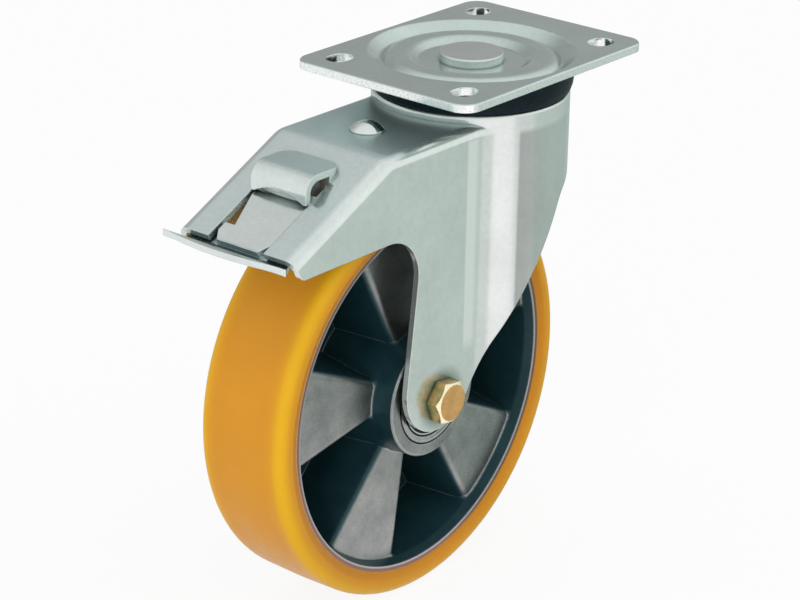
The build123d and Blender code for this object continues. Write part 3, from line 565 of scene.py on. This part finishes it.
def lathe(name, profile, centre, axis, steps=128):
    """Closed profile of (radius, height) points turned round an axis through centre."""
    shape = bmesh.new()
    turn = Vector((0, 0, 1)).rotation_difference(Vector(axis)).to_matrix()
    rings = []
    for step in range(steps):
        angle = math.tau * step / steps
        rings.append([
            shape.verts.new(
                turn @ Vector((r * math.cos(angle), r * math.sin(angle), h)) * MM + Vector(centre)
            )
            for r, h in profile
        ])
    count = len(profile)
    for step in range(steps):
        here, after = rings[step], rings[(step + 1) % steps]
        for k in range(count):
            face = (here[k], after[k], after[(k + 1) % count], here[(k + 1) % count])
            shape.faces.new(face).smooth = True
    return finished_mesh(name, shape)


def thread(name, centre, axis, root, crest, length, pitch, steps=48):
    """Screw thread: one ridge wound round a shank, from centre along axis."""
    shape = bmesh.new()
    turn = Vector((0, 0, 1)).rotation_difference(Vector(axis)).to_matrix()
    total = int(steps * (length - pitch) / pitch)
    rows = []
    for step in range(total + 1):
        angle = math.tau * step / steps
        base = pitch * step / steps
        fade = min(1.0, step / 12, (total - step) / 12)
        top = root + (crest - root) * fade
        row = []
        for r, h in ((root - 0.1, 0.02), (top, 0.42), (top, 0.58), (root - 0.1, 0.98)):
            spot = Vector((r * math.cos(angle), r * math.sin(angle), base + h * pitch))
            row.append(shape.verts.new(turn @ spot * MM + Vector(centre)))
        rows.append(row)
    for here, after in zip(rows, rows[1:]):
        for k in range(4):
            shape.faces.new((here[k], after[k], after[(k + 1) % 4], here[(k + 1) % 4]))
    shape.faces.new(rows[0])
    shape.faces.new(rows[-1])
    return finished_mesh(name, shape)


def body_of(node):
    """The moving body that a CAD node belongs to."""
    return NODES[node]["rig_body"]


def add_fastener_detail():
    """Threads on the bolt ends and the locking collar in the axle nut."""
    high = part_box("axle_nut")[1]
    nut_face = (AXLE[0], high.y, AXLE[2])
    end = (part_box("axle_bolt")[1].y - high.y) / MM
    winding = thread("axle_thread", nut_face, (0, 1, 0), 5.9, 6.2, end, 0.9)
    piece("axle_thread", winding, "gold_zinc", body_of("axle_bolt"))
    collar = [(6.35, -0.3), (7.7, -0.3), (7.7, 0.25), (7.3, 0.45), (6.7, 0.45), (6.35, 0.2)]
    ring = lathe("nut_collar", collar, nut_face, (0, 1, 0))
    piece("nut_collar", ring, "seal_black", body_of("axle_nut"))
    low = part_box("kingpin_nut")[0]
    end = (low.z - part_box("kingpin")[0].z) / MM
    winding = thread("kingpin_thread", (0, 0, low.z), (0, 0, -1), 7.9, 8.2, end, 0.7)
    piece("kingpin_thread", winding, "plate_zinc", body_of("kingpin"))


# ---------------------------------------------------------------- studio
def add_world():
    """Soft studio surroundings: white to the camera, graded for light and reflections."""
    world = bpy.data.worlds.new("studio")
    SCENE.world = world
    world.use_nodes = True
    tree = Tree(world.node_tree)
    for node in list(world.node_tree.nodes):
        world.node_tree.nodes.remove(node)
    out = tree.node("ShaderNodeOutputWorld")
    seen = tree.node("ShaderNodeBackground")
    seen.inputs["Color"].default_value = (1, 1, 1, 1)
    lit = tree.node("ShaderNodeBackground")
    x, y, z = tree.split(tree.node("ShaderNodeTexCoord").outputs["Generated"])
    low = tree.around(
        x, y,
        (-180, 0.92), (-130, 1.00), (-90, 1.05), (-29, 1.05), (0, 0.85), (20, 0.50),
        (39.5, 0.43), (80, 0.42), (120, 0.80), (140, 0.95), (180, 0.92),
    )
    shade = tree.blend(tree.span(z, 0.42, 1.05), low, (0.93, 0.93, 0.93))
    tree.link(shade, lit.inputs["Color"])
    lit.inputs["Strength"].default_value = 1.0
    path = tree.node("ShaderNodeLightPath")
    mix = tree.node("ShaderNodeMixShader")
    tree.link(path.outputs["Is Camera Ray"], mix.inputs[0])
    tree.link(lit.outputs[0], mix.inputs[1])
    tree.link(seen.outputs[0], mix.inputs[2])
    tree.link(mix.outputs[0], out.inputs["Surface"])


def add_floor():
    """Plain pale floor under the tread; metal sees it as the studio's graded surroundings."""
    low = CAD_BOX[0].z
    mesh = bpy.data.meshes.new("floor")
    reach = 8.0
    mesh.from_pydata(
        [(-reach, -reach, low), (reach, -reach, low), (reach, reach, low), (-reach, reach, low)],
        [],
        [(0, 1, 2, 3)],
    )
    floor = bpy.data.objects.new("floor", mesh)
    SCENE.collection.objects.link(floor)
    material, tree, shader = new_material("floor")
    shader.inputs["Base Color"].default_value = (0.85, 0.85, 0.85, 1)
    shader.inputs["Roughness"].default_value = 0.9
    white = tree.node("ShaderNodeEmission")
    white.inputs["Color"].default_value = (1, 1, 1, 1)
    mirrored = tree.node("ShaderNodeEmission")
    x, y, z = tree.split(tree.coords())
    shade = tree.around(
        x, y,
        (-180, 0.97), (-120, (1.20, 1.11, 1.14)), (-92, (1.20, 1.11, 1.14)),
        (-87, (0.80, 0.78, 0.79)), (-67, (0.84, 0.83, 0.81)), (-62, (0.57, 0.64, 0.61)),
        (-30, (0.57, 0.64, 0.61)), (0, (0.46, 0.54, 0.51)), (60, (0.44, 0.52, 0.49)),
        (90, 0.95), (180, 0.97),
    )
    tree.link(shade, mirrored.inputs["Color"])
    path = tree.node("ShaderNodeLightPath")
    to_camera = tree.node("ShaderNodeMixShader")
    share = tree.math("MULTIPLY", path.outputs["Is Camera Ray"], 0.90)
    tree.link(share, to_camera.inputs[0])
    tree.link(shader.outputs[0], to_camera.inputs[1])
    tree.link(white.outputs[0], to_camera.inputs[2])
    to_metal = tree.node("ShaderNodeMixShader")
    tree.link(path.outputs["Is Glossy Ray"], to_metal.inputs[0])
    tree.link(to_camera.outputs[0], to_metal.inputs[1])
    tree.link(mirrored.outputs[0], to_metal.inputs[2])
    out = material.node_tree.nodes["Material Output"]
    tree.link(to_metal.outputs[0], out.inputs["Surface"])
    mesh.materials.append(material)


def area_light(name, place, target, size, power):
    """Soft lamp that lights the part without showing up in its reflections."""
    data = bpy.data.lights.new(name, "AREA")
    data.shape = "RECTANGLE"
    data.size, data.size_y = size
    data.energy = power
    light = bpy.data.objects.new(name, data)
    SCENE.collection.objects.link(light)
    light.location = place
    aim = Vector(target) - Vector(place)
    light.rotation_euler = aim.to_track_quat("-Z", "Y").to_euler()
    light.visible_camera = False
    light.visible_glossy = False


add_camera()
dress_cad()
add_fastener_detail()
add_world()
add_floor()
area_light("key", (-1.5, -0.5, 0.15), (-0.08, 0, -0.1), (0.8, 0.6), 9.0)
area_light("fill", (0.8, -1.4, 0.6), (-0.05, 0, -0.1), (1.2, 0.8), 3.0)
SCENE.view_settings.view_transform = "Standard"
